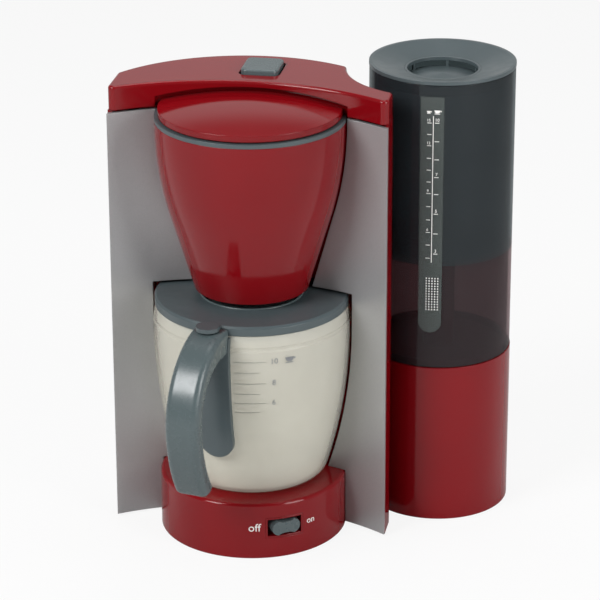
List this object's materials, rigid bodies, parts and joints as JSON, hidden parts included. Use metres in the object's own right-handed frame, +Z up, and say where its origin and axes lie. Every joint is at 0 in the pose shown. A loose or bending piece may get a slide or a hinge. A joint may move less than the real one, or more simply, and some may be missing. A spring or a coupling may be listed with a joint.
{
  "type": "toy coffee maker",
  "caption": "Toy drip coffee maker with a lidded jug in a hollow front, a pull-out filter cup, a press button, a rocker switch and a lift-off water tank on a round plinth.",
  "frame": {"origin": "on the floor, on the middle line of the hollow front, in the plane of its two front edges", "axes": "+Z up, -Y to the front, +X towards the water tank"},
  "size_m": [0.2236, 0.2018, 0.2709],
  "materials": {
    "red_plastic": "gloss moulded ABS",
    "silver_paint": "satin metallic paint on ABS",
    "grey_plastic": "satin moulded ABS",
    "dark_plastic": "matt moulded polypropylene",
    "smoked_plastic": "smoked clear polystyrene",
    "clear_plastic": "clear polystyrene",
    "black_rubber": "matt rubber",
    "steel": "plain steel"
  },
  "bodies": {
    "root": {"rear_housing": "red_plastic", "left_panel": "silver_paint", "right_panel": "silver_paint", "top_bridge": "red_plastic", "niche_liner": "red_plastic", "filter_dock": "red_plastic", "jug_base": "red_plastic", "base_plate": "dark_plastic", "base_cover": "dark_plastic", "base_screws": "steel", "bridge_screws": "steel", "tank_plinth": "red_plastic", "water_column": "red_plastic", "plinth_cover": "dark_plastic", "tank_seal": "black_rubber", "valve_body": "dark_plastic", "valve_cap": "dark_plastic", "water_spout": "clear_plastic", "water_hose": "clear_plastic", "button_spring": "steel", "switch_bezel": "red_plastic", "rocker_pin": "steel"},
    "button": {"brew_button": "grey_plastic", "push_rod": "grey_plastic", "valve_poppet": "black_rubber"},
    "rocker": {"power_rocker": "grey_plastic"},
    "filter": {"filter_cup": "red_plastic", "filter_basket": "grey_plastic"},
    "filter_cover": {"filter_lid": "red_plastic"},
    "jug": {"jug_glass": "clear_plastic", "handle_strip": "grey_plastic", "handle_grip": "grey_plastic", "handle_inner": "grey_plastic", "handle_screw": "steel", "jug_hinge_pin": "steel"},
    "jug_cover": {"jug_lid": "grey_plastic"},
    "tank": {"tank_body": "smoked_plastic", "tank_sleeve": "smoked_plastic", "level_window": "clear_plastic", "tank_outlet": "smoked_plastic"},
    "tank_cover": {"tank_lid": "grey_plastic", "fill_grille": "grey_plastic"}
  },
  "joints": [
    {"name": "brew_button_press", "type": "slide", "parent": "root", "child": "button", "axis": [0, 0, -1], "range_m": [0, 0.004], "stiffness_N_per_m": 250, "springref_m": -0.002, "deforming": ["button_spring"]},
    {"name": "power_switch", "type": "hinge", "parent": "root", "child": "rocker", "pos_m": [0.02523, -0.03057, 0.0188], "axis": [0, 0, 1], "range_deg": [-12, 0]},
    {"name": "filter_pull", "type": "slide", "parent": "root", "child": "filter", "axis": [0, -1, 0], "range_m": [0, 0.075]},
    {"name": "filter_lid_lift", "type": "slide", "parent": "filter", "child": "filter_cover", "axis": [0, 0, 1], "range_m": [0, 0.0024]},
    {"name": "jug_pull", "type": "slide", "parent": "root", "child": "jug", "axis": [0, -1, 0], "range_m": [0, 0.13]},
    {"name": "jug_lid_hinge", "type": "hinge", "parent": "jug", "child": "jug_cover", "pos_m": [-0.01279, -0.04756, 0.1416], "axis": [0.9781, -0.2079, 0], "range_deg": [0, 0.8]},
    {"name": "tank_lift", "type": "slide", "parent": "root", "child": "tank", "axis": [0, 0, 1], "range_m": [0, 0.08]},
    {"name": "tank_lid_lift", "type": "slide", "parent": "tank", "child": "tank_cover", "axis": [0, 0, 1], "range_m": [0, 0.04]}
  ]
}
